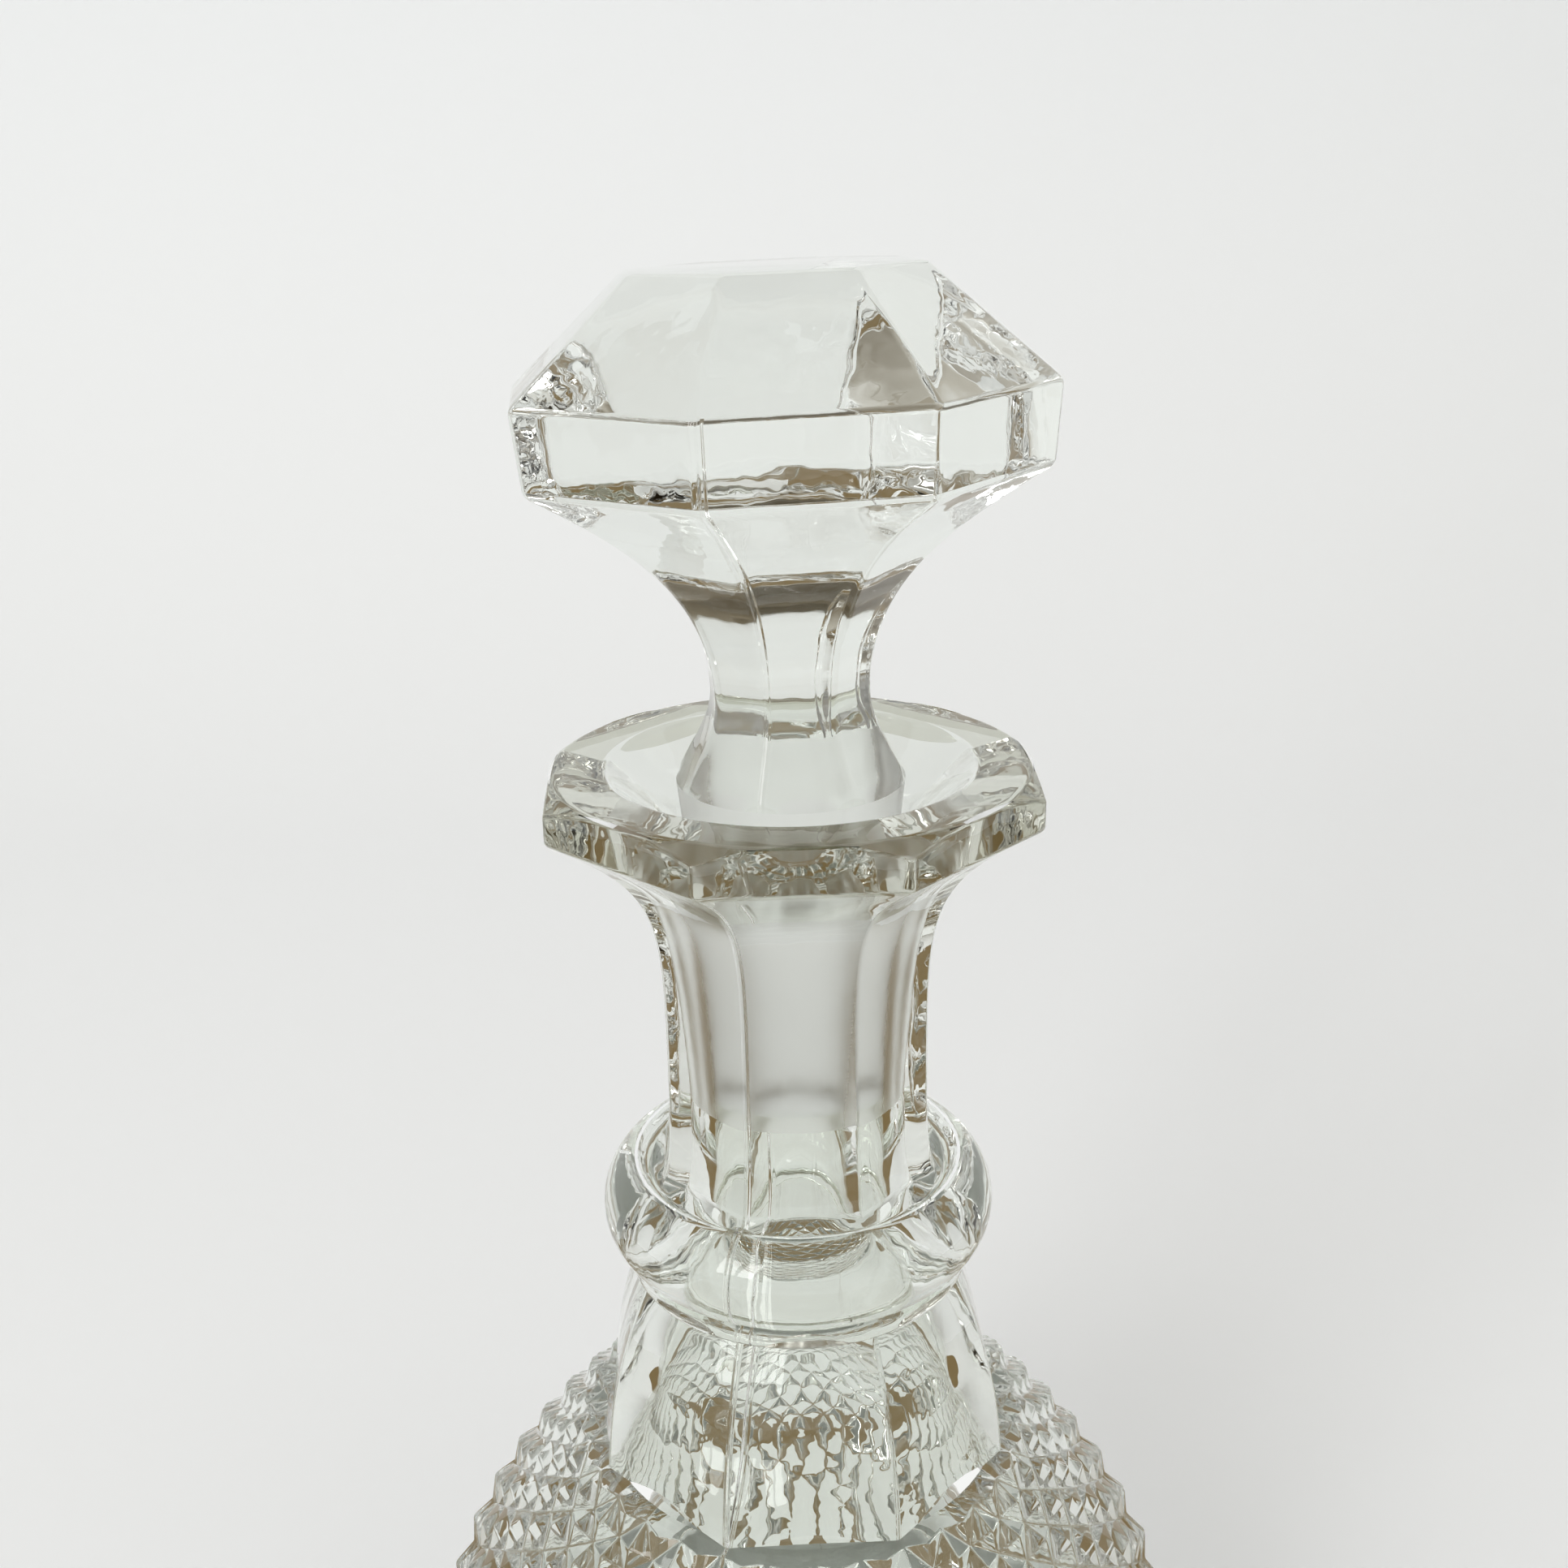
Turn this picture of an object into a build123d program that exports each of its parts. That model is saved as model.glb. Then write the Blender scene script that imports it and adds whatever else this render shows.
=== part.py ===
from build123d import *
import math
import os

# A clear pressed-glass perfume bottle and its solid ground-glass stopper, in millimetres.
# Z = 0 is the surface that the bottle stands on, and Z is the bottle's axis.
# A radius named "corner" is measured to the corners of the octagon, and the others are round.

# Body: a squat globe under an eight-sided shoulder.
FOOT_RADIUS = 32.0
FOOT_EDGE = 2.0
STANDING_RING_WIDTH = 5.0
HOLLOW_DEPTH = 1.6
GLOBE_BOTTOM = 9.0
GLOBE_BOTTOM_RADIUS = 34.6
GIRTH_HEIGHT = 26.0
GIRTH_RADIUS = 38.5
LEDGE_HEIGHT = 58.8
LEDGE_RADIUS = 21.8
SHOULDER_CORNER_LOW = 20.2
SHOULDER_CORNER_MIDDLE = 18.7
SHOULDER_CORNER_HIGH = 15.6
SHOULDER_MIDDLE_HEIGHT = 68.6
SHOULDER_TOP_HEIGHT = 78.0

# Collar ring, neck and lip.
RING_CENTRE_RADIUS = 13.2
RING_SECTION_RADIUS = 5.0
RING_HEIGHT = 83.6
GROOVE_RADIUS = 13.8
GROOVE_HEIGHT = 88.5
GROOVE_SECTION_RADIUS = 1.3
BEAD_RADIUS = 16.0
BEAD_HEIGHT = 78.0
BEAD_SECTION_RADIUS = 0.9
CORE_RADIUS = 15.3
NECK_BOTTOM = 80.0
NECK_CORNER_LOW = 14.4
NECK_CORNER_WAIST = 12.5
NECK_WAIST_HEIGHT = 98.0
FLARE_HANDLES = ((12.5, 109.0), (12.3, 115.0), (14.6, 117.6))  # corner radius and height
LIP_CORNER = 22.4
LIP_BOTTOM = 122.2
LIP_TOP = 126.1
LIP_CHAMFER_ANGLE = 35.0
LIP_CORNER_HEIGHT = 124.8
MOUTH_RADIUS = 16.0

# Ground seat in the neck, and the stopper's plug, which is smaller by the grinding clearance.
PLUG_TOP = 124.8
PLUG_TOP_RADIUS = 9.9
PLUG_BOTTOM = 96.0
PLUG_BOTTOM_RADIUS = 7.0
GRINDING_CLEARANCE = 0.03
SEAT_TOP = 117.0
SEAT_BOTTOM = 94.5

# Hollow inside: a thick base, and a wall that thickens into the neck.
BASE_THICKNESS = 9.0
CAVITY_CENTRE_HEIGHT = 33.0
CAVITY_RADIUS = 33.0
CAVITY_SHOULDER_RADIUS = 14.4
CAVITY_SHOULDER_HEIGHT = 68.0
CAVITY_TOP = 89.0
CAVITY_FLOOR_RADIUS = 22.0
BORE_RADIUS = 6.9

# Stopper head: an eight-sided jewel on a waisted stem.
TABLE_CORNER = 12.4
TABLE_HEIGHT = 167.1
GIRDLE_CORNER_TOP = 23.0
GIRDLE_TOP = 158.0
GIRDLE_CORNER_BOTTOM = 22.4
GIRDLE_BOTTOM = 151.5
STEM_CORNER = 7.1
STEM_HEIGHT = 132.6
BELL_CORNER = 10.9
HEAD_TURN = 5.3
HEAD_LEAN = 1.4

SIDES = 8
CORNER_ANGLE = 180.0 / SIDES
FLAT_SHARE = math.cos(math.radians(CORNER_ANGLE))
BEYOND = 60.0  # farther from the axis, or above the head, than any surface


def eight_sided(*half_outline):
    """Solid with eight like sides, from an outline in the XZ plane that follows the middle of a side."""
    outline = Wire(list(half_outline))
    low, high = outline @ 0, outline @ 1
    closing = Polyline((low.X, 0, low.Z), (0, 0, low.Z), (0, 0, high.Z), (high.X, 0, high.Z))
    face = make_face(Wire([*outline.edges(), *closing.edges()]))
    slab = extrude(face, BEYOND, both=True)
    slab += mirror(slab, about=Plane.YZ)
    solid = slab
    for turn in range(1, SIDES // 2):
        solid &= Rot(0, 0, turn * 360 / SIDES) * slab
    return solid


def corner(radius, height):
    """Outline point for a corner radius: the flats stand nearer to the axis than the corners."""
    return (radius * FLAT_SHARE, 0, height)


def octagon(radius, height):
    return Plane.XY.offset(height) * RegularPolygon(radius, SIDES, rotation=CORNER_ANGLE)


def turned(*edges):
    """Round solid from a closed outline in the XZ plane."""
    return revolve(make_face(Wire(list(edges))), Axis.Z)


def cone(low_radius, low, high_radius, high):
    """Plain cone between two heights."""
    outline = Polyline((0, 0, low), (low_radius, 0, low), (high_radius, 0, high), (0, 0, high), close=True)
    return turned(*outline.edges())


def seat_radius(height):
    """Radius of the plug's taper at a height."""
    share = (height - PLUG_BOTTOM) / (PLUG_TOP - PLUG_BOTTOM)
    return PLUG_BOTTOM_RADIUS + share * (PLUG_TOP_RADIUS - PLUG_BOTTOM_RADIUS)


def globe():
    """Body below the ledge: the globe on its plain foot, with a shallow hollow underneath."""
    top = (LEDGE_RADIUS, 0, LEDGE_HEIGHT)
    girth = (GIRTH_RADIUS, 0, GIRTH_HEIGHT)
    low = (GLOBE_BOTTOM_RADIUS, 0, GLOBE_BOTTOM)
    upper_side = Bezier(top, (30.3, 0, 50.8), (GIRTH_RADIUS, 0, 40.0), girth)
    lower_side = Bezier(girth, (GIRTH_RADIUS, 0, 18.5), (37.0, 0, 13.0), low)
    foot_top = (FOOT_RADIUS, 0, GLOBE_BOTTOM - FOOT_EDGE)
    foot_low = (FOOT_RADIUS, 0, FOOT_EDGE)
    edge_middle = FOOT_EDGE * (1 - math.sqrt(0.5))
    foot = ThreePointArc(
        foot_low, (FOOT_RADIUS - edge_middle, 0, edge_middle), (FOOT_RADIUS - FOOT_EDGE, 0, 0)
    )
    ring_inside = FOOT_RADIUS - FOOT_EDGE - STANDING_RING_WIDTH
    hollow = Bezier((ring_inside, 0, 0), (ring_inside * 0.5, 0, HOLLOW_DEPTH), (0, 0, HOLLOW_DEPTH))
    return turned(
        Line((0, 0, HOLLOW_DEPTH), (0, 0, LEDGE_HEIGHT)),
        Line((0, 0, LEDGE_HEIGHT), top),
        upper_side,
        lower_side,
        Line(low, foot_top),
        Line(foot_top, foot_low),
        foot,
        Line((FOOT_RADIUS - FOOT_EDGE, 0, 0), (ring_inside, 0, 0)),
        hollow,
    )


def shoulder():
    """Eight smooth panels that swell from the collar ring down to the ledge."""
    return eight_sided(
        ThreePointArc(
            corner(SHOULDER_CORNER_LOW, LEDGE_HEIGHT - 1),
            corner(SHOULDER_CORNER_MIDDLE, SHOULDER_MIDDLE_HEIGHT),
            corner(SHOULDER_CORNER_HIGH, SHOULDER_TOP_HEIGHT),
        )
    )


def neck():
    """Eight panels from the collar ring to the lip, waisted in the middle and flared under the lip."""
    waist = corner(NECK_CORNER_WAIST, NECK_WAIST_HEIGHT)
    handles = [corner(*handle) for handle in FLARE_HANDLES]
    flare = Bezier(waist, *handles, corner(LIP_CORNER, LIP_BOTTOM))
    swell = Bezier(corner(NECK_CORNER_LOW, NECK_BOTTOM), corner(NECK_CORNER_WAIST, 90.0), waist)
    band = Line(corner(LIP_CORNER, LIP_BOTTOM), corner(LIP_CORNER, LIP_TOP))
    blank = eight_sided(swell, flare, band)
    fall = LIP_TOP - LIP_CORNER_HEIGHT
    flat_radius = LIP_CORNER - fall / math.tan(math.radians(LIP_CHAMFER_ANGLE))
    spread = (LIP_TOP - NECK_BOTTOM) / math.tan(math.radians(LIP_CHAMFER_ANGLE))
    chamfer = cone(flat_radius + spread, NECK_BOTTOM, flat_radius, LIP_TOP)
    return blank & chamfer


def collar():
    """Round ring at the neck's foot, with a groove round the neck and a thin bead under it."""
    ring = Plane.XY.offset(RING_HEIGHT) * Torus(RING_CENTRE_RADIUS, RING_SECTION_RADIUS)
    groove = Plane.XY.offset(GROOVE_HEIGHT) * Torus(GROOVE_RADIUS, GROOVE_SECTION_RADIUS)
    core = cone(CORE_RADIUS, BEAD_HEIGHT - 1, CORE_RADIUS, RING_HEIGHT - 3)
    bead = Plane.XY.offset(BEAD_HEIGHT) * Torus(BEAD_RADIUS - BEAD_SECTION_RADIUS, BEAD_SECTION_RADIUS)
    return ring - groove + core + bead


def hollow():
    """Everything that is cut out of the bottle: mouth funnel, ground seat, neck bore and cavity."""
    seat_low = (seat_radius(SEAT_BOTTOM) + GRINDING_CLEARANCE, 0, SEAT_BOTTOM)
    seat_high = (seat_radius(SEAT_TOP) + GRINDING_CLEARANCE, 0, SEAT_TOP)
    mouth = (MOUTH_RADIUS, 0, LIP_TOP)
    bore_high = (BORE_RADIUS, 0, SEAT_BOTTOM - 0.5)
    bore_low = (BORE_RADIUS, 0, CAVITY_TOP)
    shoulder_point = (CAVITY_SHOULDER_RADIUS, 0, CAVITY_SHOULDER_HEIGHT)
    girth = (CAVITY_RADIUS, 0, CAVITY_CENTRE_HEIGHT)
    floor_edge = (CAVITY_FLOOR_RADIUS, 0, BASE_THICKNESS)
    return turned(
        Line((0, 0, BASE_THICKNESS), floor_edge),
        Bezier(floor_edge, (CAVITY_RADIUS - 1.0, 0, BASE_THICKNESS), (CAVITY_RADIUS, 0, 20.0), girth),
        Bezier(girth, (CAVITY_RADIUS, 0, 48.0), (17.4, 0, 56.5), shoulder_point),
        Bezier(shoulder_point, (13.0, 0, 74.0), (BORE_RADIUS, 0, 80.0), bore_low),
        Line(bore_low, bore_high),
        Line(bore_high, seat_low),
        Line(seat_low, seat_high),
        Bezier(seat_high, (seat_high[0] + 0.6, 0, 120.5), (13.5, 0, 124.0), mouth),
        Line(mouth, (MOUTH_RADIUS, 0, LIP_TOP + 1)),
        Line((MOUTH_RADIUS, 0, LIP_TOP + 1), (0, 0, LIP_TOP + 1)),
        Line((0, 0, LIP_TOP + 1), (0, 0, BASE_THICKNESS)),
    )


def bottle():
    """The whole bottle is one piece of pressed glass."""
    body = globe() + shoulder()
    top = collar() + neck()
    return body + top - hollow()


def head():
    """Jewel, stem and bell, which stand a little off square on the ground plug."""
    crown = loft([octagon(GIRDLE_CORNER_TOP, GIRDLE_TOP), octagon(TABLE_CORNER, TABLE_HEIGHT)])
    girdle = loft([octagon(GIRDLE_CORNER_BOTTOM, GIRDLE_BOTTOM), octagon(GIRDLE_CORNER_TOP, GIRDLE_TOP)])
    waist = corner(STEM_CORNER, STEM_HEIGHT)
    under_girdle = corner(GIRDLE_CORNER_BOTTOM, GIRDLE_BOTTOM)
    flare = Bezier(waist, corner(7.1, 138.0), corner(9.5, 143.0), corner(14.0, 145.5), under_girdle)
    bell = Bezier(corner(BELL_CORNER, PLUG_TOP - 1), corner(8.8, 128.0), corner(7.1, 130.0), waist)
    square = crown + girdle + eight_sided(bell, flare)
    leaning = Pos(0, 0, STEM_HEIGHT) * Rot(0, -HEAD_LEAN, 0) * Rot(0, 0, HEAD_TURN)
    return leaning * Pos(0, 0, -STEM_HEIGHT) * square


def stopper():
    """One solid piece of glass: the bell under the head is turned down to the plug's top."""
    skirt = cone(PLUG_TOP_RADIUS, PLUG_TOP, PLUG_TOP_RADIUS, STEM_HEIGHT)
    above = cone(BEYOND, STEM_HEIGHT, BEYOND, TABLE_HEIGHT + BEYOND)
    plug = cone(PLUG_BOTTOM_RADIUS, PLUG_BOTTOM, PLUG_TOP_RADIUS, PLUG_TOP)
    return (head() & (skirt + above)) + plug


os.makedirs("parts", exist_ok=True)
for name, solid in (("bottle", bottle()), ("stopper", stopper())):
    export_step(solid, f"parts/{name}.step")
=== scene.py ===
import bmesh
import bpy
import math
from mathutils import Matrix


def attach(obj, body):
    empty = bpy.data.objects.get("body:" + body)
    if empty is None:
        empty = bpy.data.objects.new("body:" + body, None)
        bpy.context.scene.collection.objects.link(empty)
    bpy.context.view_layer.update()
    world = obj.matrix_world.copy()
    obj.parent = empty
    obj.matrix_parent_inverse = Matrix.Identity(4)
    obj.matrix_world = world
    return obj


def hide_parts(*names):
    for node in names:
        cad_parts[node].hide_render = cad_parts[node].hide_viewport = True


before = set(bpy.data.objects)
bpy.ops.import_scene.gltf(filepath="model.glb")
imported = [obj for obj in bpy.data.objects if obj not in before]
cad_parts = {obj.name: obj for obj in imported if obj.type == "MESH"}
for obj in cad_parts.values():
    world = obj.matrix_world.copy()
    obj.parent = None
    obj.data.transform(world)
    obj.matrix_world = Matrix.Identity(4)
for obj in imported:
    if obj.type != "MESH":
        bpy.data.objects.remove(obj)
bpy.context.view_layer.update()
mm = 0.001

# ---- Bottle -------------------------------------------------------------------------------
# One piece of clear soda glass, pressed in a mould: an eight-sided neck and shoulder, a round
# collar ring and a globe of diamond points. The lip is ground flat and chamfered on a wheel,
# and the taper inside the neck is ground to the stopper.
SIDES = 8
POINTS = 64
CORNER_TURN = math.radians(22.5)

# The mould's seam, with a drop of glass where it meets the neck's foot.
SEAM_TURN = math.radians(-112.5)
SEAM_CREST, SEAM_WIDTH, SEAM_RISE = 0.05, 0.35, 0.12
DROP_RISE, DROP_NEAR, DROP_FAR, DROP_HALF_ANGLE = 0.7, 13.9, 14.7, 0.06

LIP_CORNER, LIP_LOW, LIP_CORNER_TOP, LIP_TOP = 22.4, 122.2, 124.8, 126.1
LIP_CHAMFER = math.tan(math.radians(35))
# Where the lip's band of painted shade lies: above this height and beyond this radius from the axis.
LIP_SHADE_LOW, LIP_SHADE_NEAR = 121.5, 16.5
MOUTH = (16.0, LIP_TOP)
NECK_WAIST = (12.5, 98.0)
NECK_FOOT = (13.2, 88.3)
FOOT_HANDLES = [(12.6, 90.5), (12.5, 94.0)]
FLARE_HANDLES = [(12.5, 109.0), (12.3, 115.0), (14.6, 117.6)]
GROOVE_BOTTOM, GROOVE_EDGE = (13.8, 87.2), (15.2, 88.18)
GROOVE_HANDLES = [(14.3, 87.2), (14.5, 88.3)]
RING_RADIUS, RING_HEIGHT, RING_SECTION = 13.2, 83.6, 5.0
BEAD_RADIUS, BEAD_HEIGHT, BEAD_SECTION = 15.1, 78.0, 0.9
SHOULDER_TOP, SHOULDER_SWELL, SHOULDER_FOOT = (15.4, 77.5), (19.6, 69.2), (20.2, 58.8)
LEDGE_EDGE, GIRTH, GLOBE_FOOT = (21.8, 58.8), (38.5, 26.0), (34.6, 9.0)
GLOBE_HANDLES, UNDER_HANDLES = [(30.3, 50.8), (38.5, 40.0)], [(38.5, 18.5), (37.0, 13.0)]
GROOVE_DEPTH = 1.05
ROW_SHARE = 0.9
FOOT_RADIUS, FOOT_TOP, FOOT_ROUND, STANDING_RING = 32.0, 7.0, 2.0, 5.0
BASE_HOLLOW, BASE_TOP = 1.6, 9.0
BASE_HANDLE, BASE_MIDDLE = (12.5, BASE_HOLLOW), (4.0, BASE_HOLLOW)
SEAT_TOP, SEAT_FOOT = (9.15, 117.0), (6.88, 94.5)
FUNNEL_HANDLES = [(9.75, 120.5), (13.5, 124.0)]
BORE, BORE_STEP = 6.9, 0.5
CAVITY_TOP, CAVITY_NECK, CAVITY_GIRTH = (BORE, 89.0), (14.4, 68.0), (33.0, 33.0)
CAVITY_FLOOR, CAVITY_MIDDLE = (22.0, BASE_TOP), (6.0, BASE_TOP)
THROAT_HANDLES, HOLLOW_HANDLES = [(13.0, 74.0), (BORE, 80.0)], [(33.0, 48.0), (17.4, 56.5)]
FLOOR_HANDLES = [(33.0, 20.0), (32.0, BASE_TOP)]
# How soft the mould and the polish leave the edges of the points and of the panels.
POINT_SOFTNESS, EDGE_SOFTNESS = 0.18, 0.3


def curve(handles, count):
    """Points along a Bezier curve through (radius, height) handles, both ends included."""
    order = len(handles) - 1
    line = []
    for step in range(count + 1):
        t = step / count
        shares = [math.comb(order, i) * t**i * (1 - t) ** (order - i) for i in range(order + 1)]
        line.append(tuple(sum(s * h[axis] for s, h in zip(shares, handles)) for axis in (0, 1)))
    return line


def arc(radius, height, section, first, last, count):
    """Points round a section, between two angles in degrees from straight outwards."""
    angles = [math.radians(first + (last - first) * step / count) for step in range(count + 1)]
    return [(radius + section * math.cos(a), height + section * math.sin(a)) for a in angles]


def start_ring(name, place, sides=POINTS):
    """Adds a round or eight-sided ring of 64 points and leaves it selected in edit mode."""
    bpy.ops.object.select_all(action="DESELECT")
    radius, height = place
    bpy.ops.mesh.primitive_circle_add(
        vertices=sides, radius=radius * mm, location=(0, 0, height * mm), rotation=(0, 0, CORNER_TURN)
    )
    ring = bpy.context.object
    ring.name = name
    bpy.ops.object.transform_apply(location=True, rotation=True, scale=True)
    bpy.ops.object.mode_set(mode="EDIT")
    bpy.ops.mesh.select_mode(type="VERT")
    bpy.ops.mesh.select_all(action="SELECT")
    if sides < POINTS:
        bpy.ops.mesh.subdivide(number_cuts=POINTS // sides - 1)
    return ring


def draw_wall(outline):
    """Extrudes the selected ring along (radius, height) places; the first is where it stands."""
    for (radius, height), (next_radius, next_height) in zip(outline, outline[1:]):
        rise = (0, 0, (next_height - height) * mm)
        bpy.ops.mesh.extrude_region_move(TRANSFORM_OT_translate={"value": rise})
        spread = next_radius / radius
        bpy.ops.transform.resize(value=(spread, spread, 1), center_override=(0, 0, 0))


def pick(wanted):
    """Selects the points for which wanted(radius, height, angle) holds, in mm and radians."""
    shape = bmesh.from_edit_mesh(bpy.context.edit_object.data)
    for point in shape.verts:
        x, y, z = point.co / mm
        point.select = bool(wanted(math.hypot(x, y), z, math.atan2(y, x)))
    shape.select_flush_mode()
    bmesh.update_edit_mesh(bpy.context.edit_object.data)


def pick_edges(wanted):
    """Selects the edges for which wanted(edge, radius, height) holds at the edge's middle."""
    shape = bmesh.from_edit_mesh(bpy.context.edit_object.data)
    bpy.ops.mesh.select_all(action="DESELECT")
    for edge in shape.edges:
        middle = (edge.verts[0].co + edge.verts[1].co) / 2 / mm
        if wanted(edge, middle.xy.length, middle.z):
            edge.select_set(True)
    bmesh.update_edit_mesh(bpy.context.edit_object.data)


def reshape_ring(place):
    """Extrudes the selected ring and moves its points: place(radius, height) is where each one goes."""
    bpy.ops.mesh.extrude_region_move()
    shape = bmesh.from_edit_mesh(bpy.context.edit_object.data)
    alike = {}
    for point in shape.verts:
        if point.select:
            was = (round(point.co.xy.length / mm, 3), round(point.co.z / mm, 3))
            alike.setdefault(was, set()).add(point.index)
    ring = set().union(*alike.values())

    def hold(members):
        shape = bmesh.from_edit_mesh(bpy.context.edit_object.data)
        for point in shape.verts:
            point.select = point.index in members
        shape.select_flush_mode()

    for (radius, height), members in alike.items():
        new_radius, new_height = place(radius, height)
        hold(members)
        spread = new_radius / radius
        bpy.ops.transform.resize(value=(spread, spread, 1), center_override=(0, 0, 0))
        bpy.ops.transform.translate(value=(0, 0, (new_height - height) * mm))
    hold(ring)


def close_end():
    """Fills the selected ring and gives the fill a middle point."""
    bpy.ops.mesh.edge_face_add()
    bpy.ops.mesh.poke()


# Neck, lip, mouth, seat and hollow are one wall, drawn up the outside and down the inside.
neck = start_ring("neck", NECK_FOOT, SIDES)
foot = curve([NECK_FOOT, *FOOT_HANDLES, NECK_WAIST], 6)
flare = curve([NECK_WAIST, *FLARE_HANDLES, (LIP_CORNER, LIP_LOW)], 24)
draw_wall(foot + flare[1:])
reshape_ring(lambda radius, height: (radius, LIP_CORNER_TOP + (LIP_CORNER - radius) * LIP_CHAMFER))
lip_flat = LIP_CORNER - (LIP_TOP - LIP_CORNER_TOP) / LIP_CHAMFER
reshape_ring(lambda radius, height: (lip_flat, LIP_TOP))
funnel = curve([SEAT_TOP, *FUNNEL_HANDLES, MOUTH], 14)[::-1]
cavity = curve([CAVITY_NECK, *THROAT_HANDLES, CAVITY_TOP], 16)[::-1]
cavity += curve([CAVITY_GIRTH, *HOLLOW_HANDLES, CAVITY_NECK], 24)[::-1][1:]
cavity += curve([CAVITY_GIRTH, *FLOOR_HANDLES, CAVITY_FLOOR], 14)[1:]
draw_wall([(lip_flat, LIP_TOP)] + funnel)
draw_wall(funnel[-1:] + [SEAT_FOOT, (BORE, SEAT_FOOT[1] - BORE_STEP)] + cavity + [CAVITY_MIDDLE])
close_end()
bpy.ops.object.mode_set(mode="OBJECT")

# A round groove at the neck's foot, the collar ring and the bead under it.
ring_outside = curve([GROOVE_BOTTOM, *GROOVE_HANDLES, GROOVE_EDGE], 6)
ring_outside += arc(RING_RADIUS, RING_HEIGHT, RING_SECTION, 62, -74, 24)
bead_outside = arc(BEAD_RADIUS, BEAD_HEIGHT, BEAD_SECTION, 55, -60, 6)
collar = start_ring("collar", ring_outside[0])
draw_wall(ring_outside + bead_outside)


def is_drop(radius, height, angle):
    """The groove's points at the seam."""
    in_groove = DROP_NEAR < radius < DROP_FAR and height > RING_HEIGHT
    return in_groove and abs(angle - SEAM_TURN) < DROP_HALF_ANGLE


pick(is_drop)
bpy.ops.transform.translate(value=(0, 0, DROP_RISE * mm))
bpy.ops.object.mode_set(mode="OBJECT")

# Eight smooth shoulder panels.
shoulder = start_ring("shoulder", SHOULDER_TOP, SIDES)
draw_wall(curve([SHOULDER_TOP, SHOULDER_SWELL, SHOULDER_FOOT], 12))
bpy.ops.object.mode_set(mode="OBJECT")

# The globe's grooves cross on every other point of a grid. Its rows keep the points' shape as
# the globe widens, so each is as far from the last as its radius asks.
surface = curve([LEDGE_EDGE, *GLOBE_HANDLES, GIRTH], 240)
surface += curve([GIRTH, *UNDER_HANDLES, GLOBE_FOOT], 120)[1:]
column = math.tau / POINTS
rows = [(LEDGE_EDGE[0] - GROOVE_DEPTH * 0.75, LEDGE_EDGE[1])]
travelled = 0.0
for (radius, height), (next_radius, next_height) in zip(surface, surface[1:]):
    step = math.dist((radius, height), (next_radius, next_height))
    travelled += step / (radius * column * ROW_SHARE)
    if travelled >= len(rows):
        inward = GROOVE_DEPTH / step
        row_radius = next_radius + (next_height - height) * inward
        row_height = next_height - (next_radius - radius) * inward
        rows.append((row_radius, row_height))
globe = start_ring("globe", rows[0])
draw_wall(rows)
bpy.ops.mesh.select_all(action="SELECT")
bpy.ops.mesh.normals_make_consistent(inside=False)


def row_of(height):
    """The number of the row nearest a height, counted down from the ledge."""
    return min(range(len(rows)), key=lambda row: abs(rows[row][1] - height))


def is_tip(radius, height, angle):
    """Half of the grid's points are tips; on the ledge they are cut through the middle."""
    row = row_of(height)
    return (round(angle / column) + row) % 2 == 1 and row < len(rows) - 1


pick(lambda radius, height, angle: (round(angle / column) + row_of(height)) % 2 == 0)
bpy.ops.mesh.vert_connect()
pick(lambda radius, height, angle: is_tip(radius, height, angle) and row_of(height) == 0)
spread = LEDGE_EDGE[0] / rows[0][0]
bpy.ops.transform.resize(value=(spread, spread, 1), center_override=(0, 0, 0))
pick(lambda radius, height, angle: is_tip(radius, height, angle) and row_of(height) > 0)
bpy.ops.transform.shrink_fatten(value=GROOVE_DEPTH * mm)
pick(lambda radius, height, angle: abs(height - rows[-1][1]) < 0.01)
stand_outside = FOOT_RADIUS - FOOT_ROUND
stand_inside = (stand_outside - STANDING_RING, 0.0)
plain_foot = [rows[-1], (FOOT_RADIUS, FOOT_TOP), (FOOT_RADIUS, FOOT_ROUND)]
plain_foot += arc(stand_outside, FOOT_ROUND, FOOT_ROUND, -15, -90, 5)
plain_foot += curve([stand_inside, BASE_HANDLE, BASE_MIDDLE], 8)
draw_wall(plain_foot)
close_end()
bpy.ops.object.mode_set(mode="OBJECT")

# The four walls are joined into one closed skin.
bpy.ops.object.select_all(action="DESELECT")
for wall in (neck, collar, shoulder, globe):
    wall.select_set(True)
bpy.context.view_layer.objects.active = neck
bpy.ops.object.join()
glass_bottle = bpy.context.object
glass_bottle.name = "glass_bottle"
bpy.ops.object.mode_set(mode="EDIT")
for upper, lower in (
    (NECK_FOOT, ring_outside[0]),
    (bead_outside[-1], SHOULDER_TOP),
    (SHOULDER_FOOT, rows[0]),
):
    ends = (upper[1], lower[1])
    least = min(upper[0], lower[0]) * math.cos(CORNER_TURN) - 0.1

    def at_gap(edge, radius, height):
        """The open edges on the two sides of a gap between walls, but not those of a hollow."""
        return edge.is_boundary and radius > least and min(abs(height - end) for end in ends) < 0.02

    pick_edges(at_gap)
    bpy.ops.mesh.bridge_edge_loops()
bpy.ops.mesh.select_all(action="SELECT")
bpy.ops.mesh.normals_make_consistent(inside=False)


def is_sharp(edge, least):
    """An edge whose faces turn more than least, in degrees."""
    return edge.is_manifold and math.degrees(edge.calc_face_angle()) > least


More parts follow.
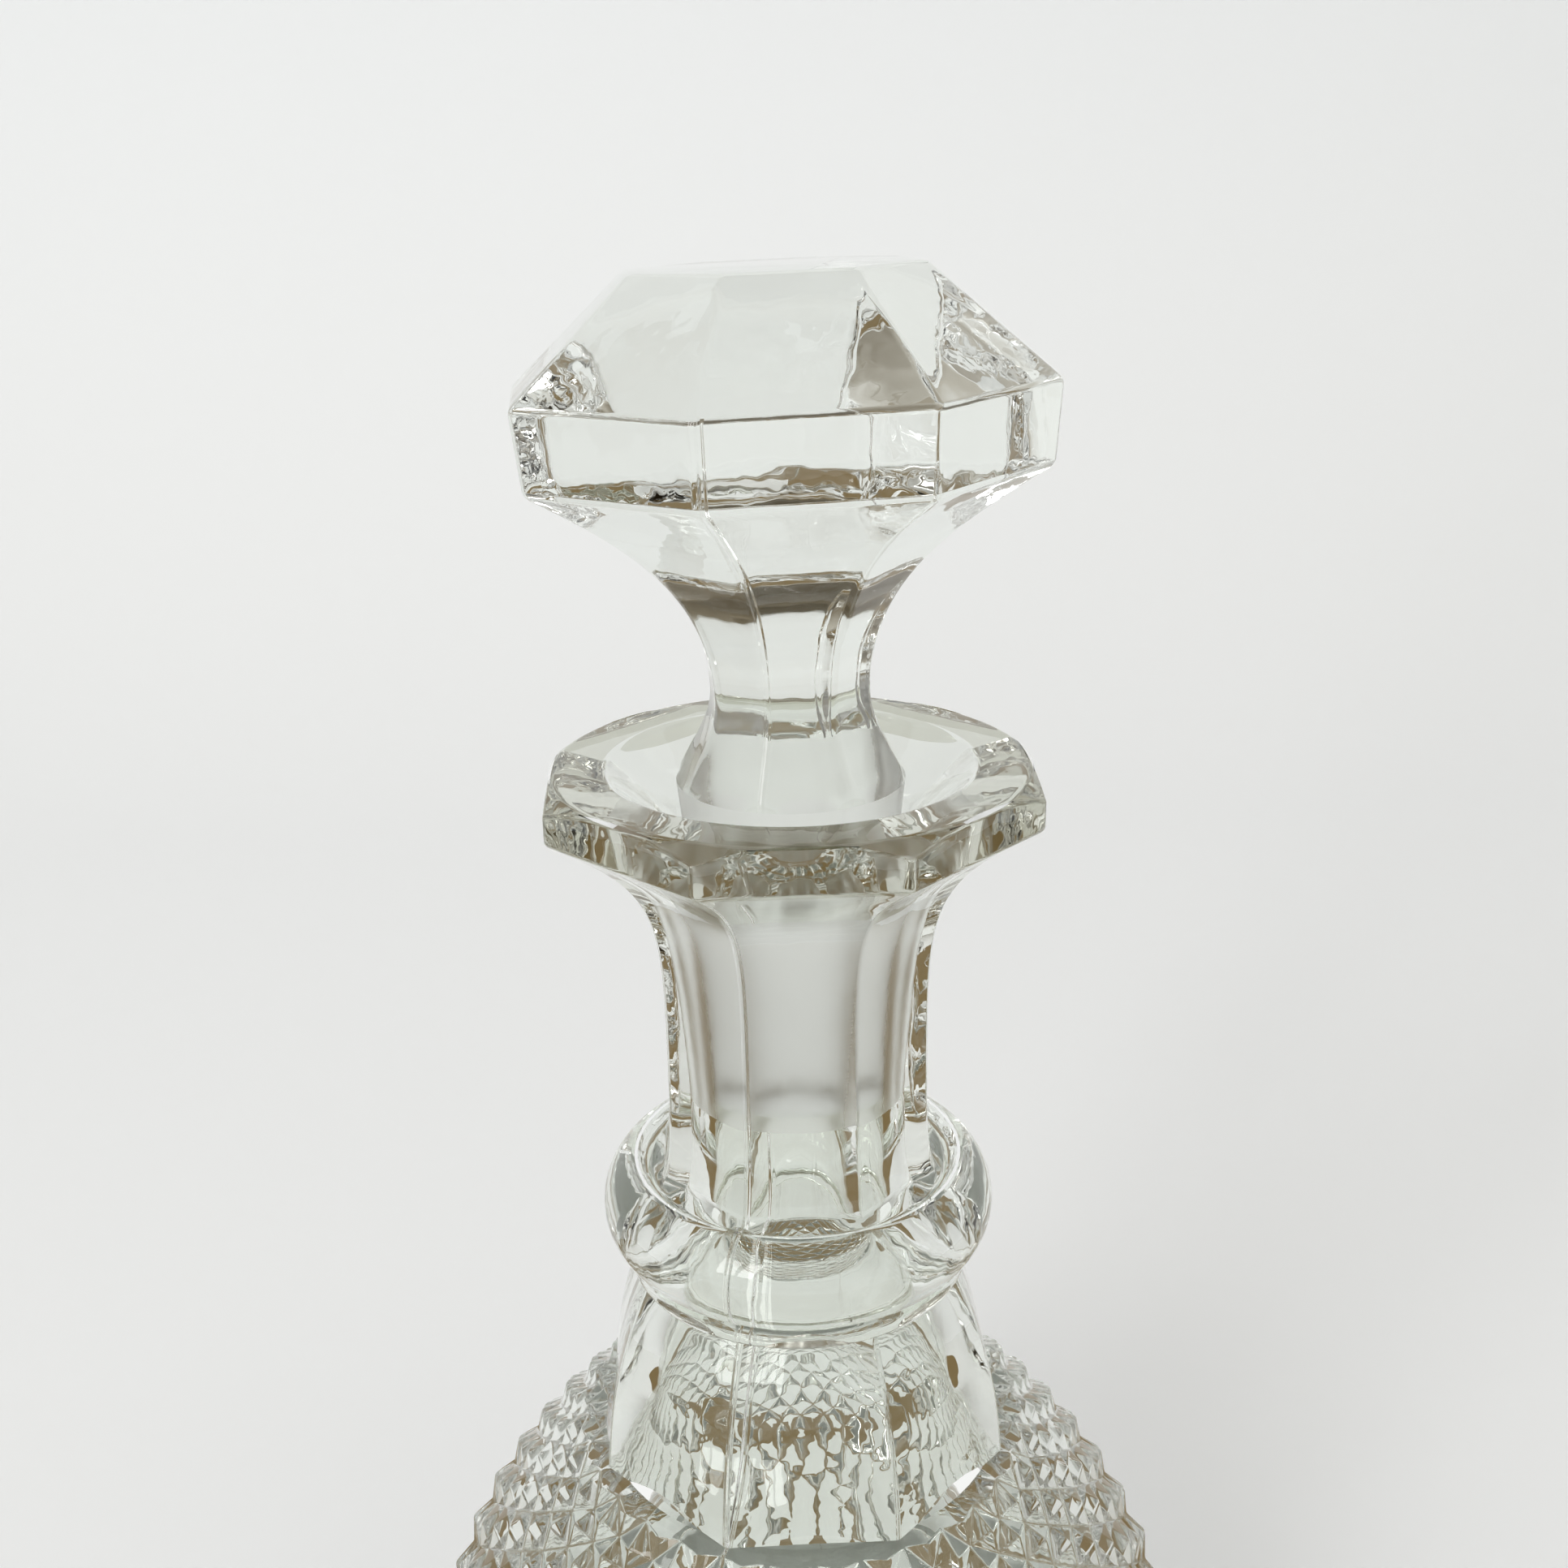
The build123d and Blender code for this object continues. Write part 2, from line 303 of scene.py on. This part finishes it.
pick_edges(lambda edge, radius, height: 9.5 < height < 59 and radius > 20.4 and is_sharp(edge, 14))
bpy.ops.mesh.bevel(offset=POINT_SOFTNESS * mm, segments=2, profile=0.5, affect="EDGES")
pick_edges(lambda edge, radius, height: radius > 11 and height > 59 and is_sharp(edge, 24))
bpy.ops.mesh.bevel(offset=EDGE_SOFTNESS * mm, segments=3, profile=0.5, affect="EDGES")
bpy.ops.object.mode_set(mode="OBJECT")
bpy.ops.object.shade_smooth_by_angle(angle=math.radians(30))


def linear(code):
    """The linear colour of an sRGB hex code."""
    parts = [int(code[i : i + 2], 16) / 255 for i in (1, 3, 5)]
    return tuple(p / 12.92 if p <= 0.04045 else ((p + 0.055) / 1.055) ** 2.4 for p in parts) + (1.0,)


def add_node(tree, kind, links=None, **settings):
    """Adds a node. A setting is the node's own choice or a socket's value; a link is a socket to read."""
    node = tree.nodes.new(kind)
    for name, value in settings.items():
        if hasattr(node, name):
            setattr(node, name, value)
        else:
            node.inputs[name.replace("_", " ")].default_value = value
    for name, source in (links or {}).items():
        tree.links.new(source, node.inputs[name])
    return node


def start_material(name):
    """An empty node material."""
    material = bpy.data.materials.new(name)
    material.use_nodes = True
    material.node_tree.nodes.clear()
    return material


# Pressed soda glass: clear, with the faint grey-green of old sand, and fire-polished to a skin
# that is bright but softly rippled, so that straight lines waver in it. The two halves of the
# mould left a thin seam down opposite corners.
def pressed(name, tint_and_shade, seam_turn, seam_top):
    """Clear rippled glass of a tint, which for the lip also holds painted shade, with a mould seam up to
    seam_top in a plane turned about Z.
    """
    material = start_material(name)
    tree = material.node_tree
    place = add_node(tree, "ShaderNodeTexCoord").outputs["Object"]
    ripple = add_node(tree, "ShaderNodeTexNoise", {"Vector": place}, Scale=170.0, Detail=1.0)
    peel = add_node(tree, "ShaderNodeTexNoise", {"Vector": place}, Scale=900.0, Detail=0.0)
    across = add_node(tree, "ShaderNodeVectorMath", {0: place}, operation="DOT_PRODUCT")
    across.inputs[1].default_value = (-math.sin(seam_turn), math.cos(seam_turn), 0)
    beside = add_node(tree, "ShaderNodeMath", {0: across.outputs["Value"]}, operation="ABSOLUTE")
    seam = add_node(
        tree,
        "ShaderNodeMapRange",
        {"Value": beside.outputs["Value"]},
        interpolation_type="SMOOTHSTEP",
        From_Min=SEAM_CREST * mm,
        From_Max=SEAM_WIDTH * mm,
        To_Min=1.0,
        To_Max=0.0,
    )
    level = add_node(tree, "ShaderNodeSeparateXYZ", {"Vector": place})
    below = add_node(tree, "ShaderNodeMath", {0: level.outputs["Z"]}, operation="LESS_THAN")
    below.inputs[1].default_value = seam_top * mm
    factors = {0: seam.outputs["Result"], 1: below.outputs["Value"]}
    seam = add_node(tree, "ShaderNodeMath", factors, operation="MULTIPLY")
    skin = None
    for relief, strength, depth in (
        (ripple.outputs["Fac"], 0.35, 0.4 * mm),
        (peel.outputs["Fac"], 0.12, 0.1 * mm),
        (seam.outputs["Value"], 1.0, SEAM_RISE * mm),
    ):
        links = {"Height": relief}
        if skin:
            links["Normal"] = skin.outputs["Normal"]
        skin = add_node(tree, "ShaderNodeBump", links, Strength=strength, Distance=depth)
    glass = add_node(
        tree,
        "ShaderNodeBsdfPrincipled",
        {"Normal": skin.outputs["Normal"]},
        Base_Color=linear(tint_and_shade),
        Roughness=0.0,
        IOR=1.5,
        Transmission_Weight=1.0,
    )
    add_node(tree, "ShaderNodeOutputMaterial", {"Surface": glass.outputs["BSDF"]})
    return material


def cover(piece, material, low=-math.inf, high=math.inf, near=0.0, far=math.inf):
    """Gives a material to the faces between two heights and two distances from the axis."""
    piece.data.materials.append(material)
    for face in piece.data.polygons:
        middle = face.center / mm
        if low < middle.z < high and near < middle.xy.length < far:
            face.material_index = len(piece.data.materials) - 1


# The second colour is painted shade: a greyer tint that darkens the lip band round the mouth.
CLEAR_TINT, LIP_SHADE_COLOUR = "#F8FBF7", "#CBCDBE"
glass_bottle.data.materials.clear()
cover(glass_bottle, pressed("pressed_soda_glass", CLEAR_TINT, SEAM_TURN, LIP_LOW))
# The lip is the same glass, but light goes a long way round in it. Its band is painted shade: a greyer tint
# stands for that light and gives the dark band round the mouth.
lip_shaded_glass = pressed("lip_glass_painted_shade", LIP_SHADE_COLOUR, SEAM_TURN, LIP_LOW)
cover(glass_bottle, lip_shaded_glass, low=LIP_SHADE_LOW, near=LIP_SHADE_NEAR)
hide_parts("bottle")
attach(glass_bottle, "bottle")

# ---- Stopper ------------------------------------------------------------------------------
# One solid piece of the same glass: an eight-sided jewel on a waisted stem, pressed in a mould
# and left as it came, and a taper plug that was ground into this bottle's neck with wet grit.
TABLE = (12.4, 167.1)
GIRDLE_TOP, GIRDLE_FOOT = (23.0, 158.0), (22.4, 151.5)
WAIST = (7.1, 132.6)
BELL_FOOT = (10.9, 123.8)
PLUG_TOP, PLUG_FOOT = (9.9, 124.8), (7.0, 96.0)
UNDER_GIRDLE_HANDLES = [(7.1, 138.0), (9.5, 143.0), (14.0, 146.5)]
BELL_HANDLES = [(8.8, 128.0), (7.1, 130.0)]
HEAD_TURN, HEAD_LEAN = math.radians(5.3), math.radians(1.4)
LEAN_LEVELS = (126.0, 128.0, 130.0, 132.0)
HEAD_SOFTNESS, PLUG_CHAMFER = 0.45, 0.2

start_ring("glass_stopper", TABLE, SIDES)
glass_stopper = bpy.context.object
close_end()
pick(lambda radius, height, angle: radius > TABLE[0] * math.cos(CORNER_TURN) - 0.1)
under_girdle = curve([WAIST, *UNDER_GIRDLE_HANDLES, GIRDLE_FOOT], 22)[::-1]
draw_wall([TABLE, GIRDLE_TOP] + under_girdle)

# The bell widens to the plug. Its panels run out in arcs where the corners reach the plug's
# radius, and the last ring is round.
bell = curve([BELL_FOOT, *BELL_HANDLES, WAIST], 14)[::-1]
for above, below in zip(bell, bell[1:]):
    if below[1] > PLUG_TOP[1]:
        widening = below[0] / above[0]
        level = below[1]
        reshape_ring(lambda radius, height: (min(radius * widening, PLUG_TOP[0]), level))
reshape_ring(lambda radius, height: PLUG_TOP)
draw_wall([PLUG_TOP, PLUG_FOOT])
close_end()
bpy.ops.mesh.select_all(action="SELECT")
bpy.ops.mesh.normals_make_consistent(inside=False)

# Mould edges are soft; the plug's foot has only a tiny ground chamfer.
pick_edges(lambda edge, radius, height: height > 125 and is_sharp(edge, 20))
bpy.ops.mesh.bevel(offset=HEAD_SOFTNESS * mm, segments=3, profile=0.5, affect="EDGES")
pick_edges(lambda edge, radius, height: height < 97 and is_sharp(edge, 40))
bpy.ops.mesh.bevel(offset=PLUG_CHAMFER * mm, segments=2, profile=0.5, affect="EDGES")

# The head stands a little off square on the plug. It leans in small steps up the bell.
bpy.ops.mesh.select_all(action="SELECT")
bpy.ops.transform.rotate(value=-HEAD_TURN, orient_axis="Z", center_override=(0, 0, 0))
for level in LEAN_LEVELS:
    pick(lambda radius, height, angle: height > level)
    share = HEAD_LEAN / len(LEAN_LEVELS)
    bpy.ops.transform.rotate(value=share, orient_axis="Y", center_override=(0, 0, WAIST[1] * mm))
bpy.ops.object.mode_set(mode="OBJECT")
bpy.ops.object.shade_smooth_by_angle(angle=math.radians(30))


# Ground glass: the same glass cut with wet grit. It is grey-white and even, and fine rings run
# round it because it was turned as it was ground.
ground_glass = start_material("ground_soda_glass")
tree = ground_glass.node_tree
place = add_node(tree, "ShaderNodeTexCoord")
stretch = add_node(tree, "ShaderNodeMapping", {"Vector": place.outputs["Object"]}, Scale=(60, 60, 3500))
rings = add_node(tree, "ShaderNodeTexNoise", {"Vector": stretch.outputs["Vector"]}, Scale=1.0, Detail=2.0)
skin = add_node(tree, "ShaderNodeBump", {"Height": rings.outputs["Fac"]}, Strength=0.5, Distance=0.006 * mm)
glass = add_node(
    tree,
    "ShaderNodeBsdfPrincipled",
    {"Normal": skin.outputs["Normal"]},
    Base_Color=linear("#FFFFFF"),
    Roughness=0.3,
    IOR=1.5,
    Transmission_Weight=1.0,
)
add_node(tree, "ShaderNodeOutputMaterial", {"Surface": glass.outputs["BSDF"]})
glass_stopper.data.materials.clear()
head_glass = pressed("pressed_soda_glass_head", CLEAR_TINT, SEAM_TURN + HEAD_TURN, GIRDLE_TOP[1])
cover(glass_stopper, head_glass)
cover(glass_stopper, ground_glass, low=PLUG_FOOT[1] + 0.2, high=PLUG_TOP[1] - 0.1, far=11.0)
cover(glass_bottle, ground_glass, low=SEAT_FOOT[1] + 0.1, high=SEAT_TOP[1] + 0.5, far=10.0)
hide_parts("stopper")
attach(glass_stopper, "stopper")

# ---- Studio -------------------------------------------------------------------------------
# A pale floor that sweeps up into a pale wall, in a room with white walls and a dim ceiling. A
# soft lamp overhead lights the floor, and a tall window stands at the upper left in front.
FLOOR_HALF, FLOOR_DROP = 3.0, 0.0002
SWEEP_START, SWEEP_RADIUS, WALL_TOP = 0.32, 0.25, 1.2
SWEEP_STEPS = 24
bpy.ops.object.select_all(action="DESELECT")
bpy.ops.mesh.primitive_plane_add(size=1.0)
floor = bpy.context.object
floor.name = "floor"
bpy.ops.object.mode_set(mode="EDIT")
bpy.ops.transform.resize(value=(FLOOR_HALF * 2, FLOOR_HALF + SWEEP_START, 1), center_override=(0, 0, 0))
middle = (SWEEP_START - FLOOR_HALF) / 2
bpy.ops.transform.translate(value=(0, middle, -FLOOR_DROP))
shape = bmesh.from_edit_mesh(floor.data)
for edge in shape.edges:
    edge.select_set(all(point.co.y > middle for point in edge.verts))
shape.select_flush_mode()
for step in range(SWEEP_STEPS):
    slope = math.radians(90) * (step + 0.5) / SWEEP_STEPS
    length = SWEEP_RADIUS * math.radians(90) / SWEEP_STEPS
    rise = (0, length * math.cos(slope), length * math.sin(slope))
    bpy.ops.mesh.extrude_region_move(TRANSFORM_OT_translate={"value": rise})
bpy.ops.mesh.extrude_region_move(TRANSFORM_OT_translate={"value": (0, 0, WALL_TOP - SWEEP_RADIUS)})
bpy.ops.object.mode_set(mode="OBJECT")
bpy.ops.object.shade_smooth()


def paper(name, colour):
    """Matt paper, with a fine tooth."""
    material = start_material(name)
    tree = material.node_tree
    place = add_node(tree, "ShaderNodeTexCoord")
    tooth = add_node(tree, "ShaderNodeTexNoise", {"Vector": place.outputs["Object"]}, Scale=400.0)
    relief = {"Height": tooth.outputs["Fac"]}
    skin = add_node(tree, "ShaderNodeBump", relief, Strength=0.1, Distance=0.2 * mm)
    sheet = add_node(
        tree,
        "ShaderNodeBsdfPrincipled",
        {"Normal": skin.outputs["Normal"]},
        Base_Color=linear(colour),
        Roughness=0.9,
        Specular_IOR_Level=0.1,
    )
    add_node(tree, "ShaderNodeOutputMaterial", {"Surface": sheet.outputs["BSDF"]})
    return material


floor.data.materials.append(paper("pale_paper", "#F3F5F7"))

# A warm card lies on the floor, a ring round the foot cut straight behind the bottle. It is a painted
# reflection: it glows dimly with a fixed brown though it is no lamp, and only the glass sees it, which
# draws the brown lines low in the lip, ring and shoulder.
CARD_REACH, CARD_HOLE, CARD_FAR, CARD_DROP = 0.4, 0.05, 0.08, 0.0001
bpy.ops.object.select_all(action="DESELECT")
bpy.ops.mesh.primitive_circle_add(vertices=64, radius=CARD_HOLE, location=(0, 0, -CARD_DROP))
reflection_card = bpy.context.object
reflection_card.name = "glowing_reflection_card"
bpy.ops.object.transform_apply(location=True)
bpy.ops.object.mode_set(mode="EDIT")
bpy.ops.mesh.select_all(action="SELECT")
bpy.ops.mesh.extrude_region_move()
spread = CARD_REACH / CARD_HOLE
bpy.ops.transform.resize(value=(spread, spread, 1), center_override=(0, 0, 0))
bpy.ops.mesh.select_all(action="SELECT")
bpy.ops.mesh.bisect(plane_co=(0, CARD_FAR, 0), plane_no=(0, 1, 0), clear_outer=True)
bpy.ops.object.mode_set(mode="OBJECT")
reflection_glow = start_material("glowing_reflection_card")
# The painted reflection's fixed brown glow, the same whatever light or shadow falls on the floor.
glow = add_node(reflection_glow.node_tree, "ShaderNodeEmission", Color=linear("#7E6B4A"))
add_node(reflection_glow.node_tree, "ShaderNodeOutputMaterial", {"Surface": glow.outputs["Emission"]})
reflection_card.data.materials.append(reflection_glow)
reflection_card.visible_camera = reflection_card.visible_diffuse = reflection_card.visible_shadow = False


def hang_lamp(name, width, depth, power, turn, tip, distance, slide=0.0):
    """An area lamp that faces the bottle from a turn about Z and a tip from overhead."""
    lamp = bpy.data.lights.new(name, "AREA")
    lamp.shape, lamp.size, lamp.size_y = "RECTANGLE", width, depth
    lamp.energy = power
    hung = bpy.data.objects.new(name, lamp)
    hung.matrix_world = (
        Matrix.Rotation(math.radians(turn), 4, "Z")
        @ Matrix.Rotation(math.radians(tip), 4, "X")
        @ Matrix.Translation((slide, 0, distance))
    )
    bpy.context.scene.collection.objects.link(hung)
    return hung


overhead = hang_lamp("overhead", width=1.4, depth=1.4, power=7.0, turn=0, tip=0, distance=1.3)
overhead.visible_glossy = overhead.visible_transmission = False
for slide in (-0.1, 0.1):
    hang_lamp("window", width=0.16, depth=0.5, power=1.5, turn=-38, tip=58, distance=1.0, slide=slide)

# The walls are white, and overhead the room is dim and a little brown.
WALLS_AND_CEILING = (
    (0.0, "#F0F1EF"),
    (0.28, "#F0F1EF"),
    (0.5, "#B5AFA3"),
    (0.8, "#7A7162"),
    (1.0, "#4E4638"),
)
ROOM_LIGHT = 1.05
room = bpy.data.worlds.new("room")
room.use_nodes = True
tree = room.node_tree
tree.nodes.clear()
around = add_node(tree, "ShaderNodeTexCoord")
direction = add_node(tree, "ShaderNodeSeparateXYZ", {"Vector": around.outputs["Generated"]})
paint = add_node(tree, "ShaderNodeValToRGB", {"Fac": direction.outputs["Z"]})
while len(paint.color_ramp.elements) < len(WALLS_AND_CEILING):
    paint.color_ramp.elements.new(1.0)
for stop, (position, colour) in zip(paint.color_ramp.elements, WALLS_AND_CEILING):
    stop.position, stop.color = position, linear(colour)
light = add_node(tree, "ShaderNodeBackground", {"Color": paint.outputs["Color"]}, Strength=ROOM_LIGHT)
add_node(tree, "ShaderNodeOutputWorld", {"Surface": light.outputs["Background"]})
bpy.context.scene.world = room

scene = bpy.context.scene
scene.view_settings.view_transform = "Standard"
scene.cycles.max_bounces = 24
scene.cycles.transmission_bounces = 24
scene.cycles.glossy_bounces = 12

# ---- Camera -------------------------------------------------------------------------------
# It stands as close as a hand, level with the stopper and looking down on the lip.
CAMERA_PLACE = (-5.71 * mm, -139.3 * mm, 172.7 * mm)
CAMERA_TURN, CAMERA_DIP, CAMERA_ROLL = (math.radians(a) for a in (-2.1, 19.27, -1.07))
LENS_LENGTH, FILM_WIDTH, NEAREST = 39.13, 36.0, 0.005
lens = bpy.data.cameras.new("camera")
lens.lens, lens.sensor_width, lens.clip_start = LENS_LENGTH, FILM_WIDTH, NEAREST
camera = bpy.data.objects.new("camera", lens)
camera.matrix_world = (
    Matrix.Translation(CAMERA_PLACE)
    @ Matrix.Rotation(CAMERA_TURN, 4, "Z")
    @ Matrix.Rotation(math.radians(90) - CAMERA_DIP, 4, "X")
    @ Matrix.Rotation(CAMERA_ROLL, 4, "Z")
)
scene.collection.objects.link(camera)
scene.camera = camera
